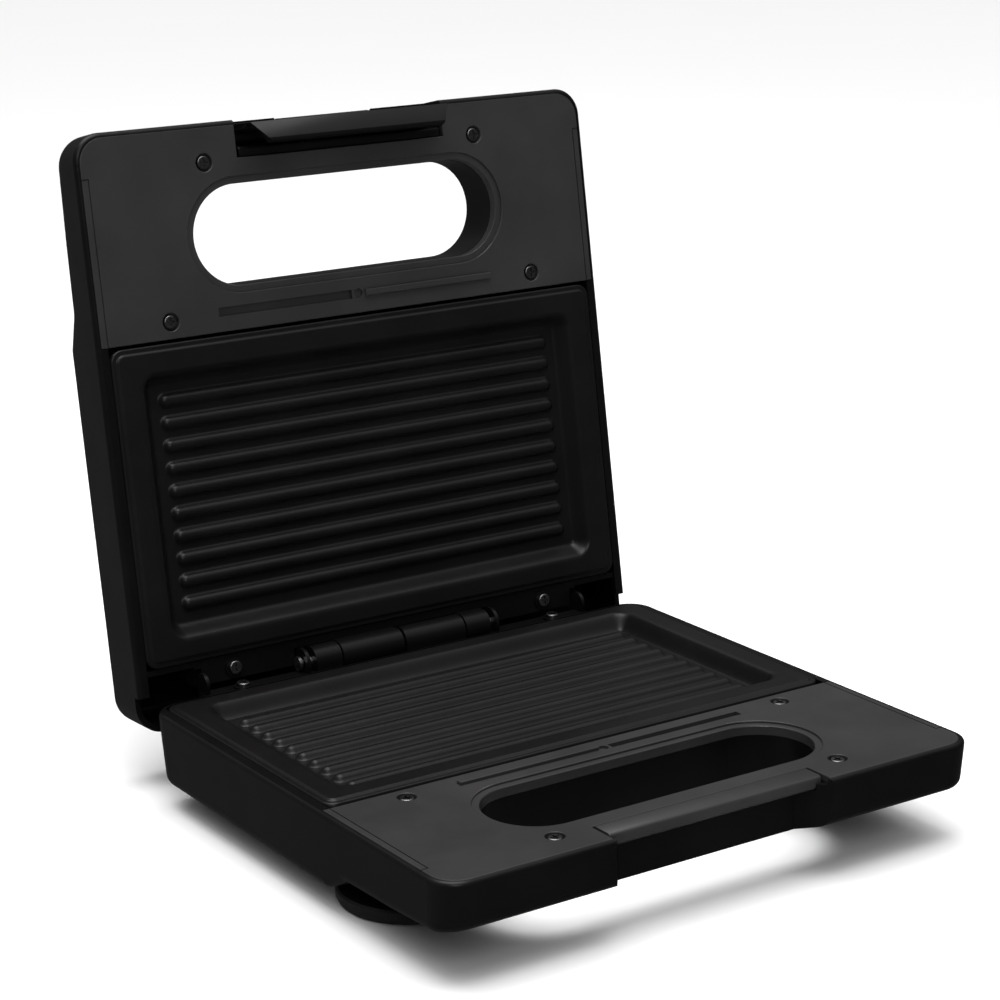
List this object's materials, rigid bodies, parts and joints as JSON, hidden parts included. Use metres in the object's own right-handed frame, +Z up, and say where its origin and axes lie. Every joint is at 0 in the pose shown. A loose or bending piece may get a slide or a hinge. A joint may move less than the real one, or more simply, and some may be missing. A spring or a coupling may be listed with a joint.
{
  "type": "panini press",
  "caption": "Two-slice sandwich press with ribbed non-stick plates, hinged lid, hand-hole grips and a swinging latch.",
  "frame": {"origin": "on the surface it stands on, under the centre of the box that holds the press with its lid open", "axes": "+X across the width, -Y towards the user and the handle, +Z up"},
  "size_m": [0.2298, 0.267, 0.2519],
  "materials": {
    "casing_black": "moulded black polypropylene, semi-gloss",
    "deck_satin": "moulded black plastic, satin",
    "plate_nonstick": "die-cast aluminium with a matte black non-stick coating",
    "screw_steel": "black-oxide steel",
    "element_sheath": "dull steel sheath",
    "tray_aluminium": "mill-finish sheet",
    "foot_plastic": "moulded black plastic",
    "pin_steel": "plain steel",
    "lens_red": "clear tinted plastic",
    "lens_green": "clear tinted plastic",
    "lamp_glass": "clear glass",
    "ceramic_white": "unglazed ceramic",
    "fuse_metal": "tinned metal",
    "terminal_nylon": "moulded nylon",
    "bush_rubber": "moulded rubber"
  },
  "bodies": {
    "base": {"cord_gland": "bush_rubber", "foot_front_left": "foot_plastic", "foot_front_right": "foot_plastic", "foot_rear_left": "foot_plastic", "foot_rear_right": "foot_plastic", "foot_screws": "screw_steel", "hinge_pin": "pin_steel", "latch_keeper": "deck_satin", "lower_casing": "casing_black", "lower_deck_cover": "deck_satin", "lower_deck_screws": "screw_steel", "lower_heating_element": "element_sheath", "lower_hot_plate": "plate_nonstick", "lower_plate_screws": "screw_steel", "lower_rear_screws": "screw_steel", "lower_reflector": "tray_aluminium", "terminal_block": "terminal_nylon", "thermal_fuse": "fuse_metal", "thermostat": "ceramic_white"},
    "lid": {"latch_bezel": "casing_black", "latch_pin": "pin_steel", "pilot_lamp_left": "lamp_glass", "pilot_lamp_right": "lamp_glass", "pilot_lens_left": "lens_red", "pilot_lens_right": "lens_green", "upper_casing": "casing_black", "upper_deck_cover": "deck_satin", "upper_deck_screws": "screw_steel", "upper_heating_element": "element_sheath", "upper_hot_plate": "plate_nonstick", "upper_plate_screws": "screw_steel", "upper_rear_screws": "screw_steel", "upper_reflector": "tray_aluminium"},
    "latch": {"latch": "casing_black"}
  },
  "joints": [
    {"name": "lid_hinge", "type": "hinge", "parent": "base", "child": "lid", "pos_m": [0, 0.08016, 0.04126], "axis": [-1, 0, 0], "range_deg": [-98.78, 0]},
    {"name": "latch_swing", "type": "hinge", "parent": "lid", "child": "latch", "pos_m": [0, 0.12285, 0.24391], "axis": [-1, 0, 0], "range_deg": [0, 25]}
  ]
}
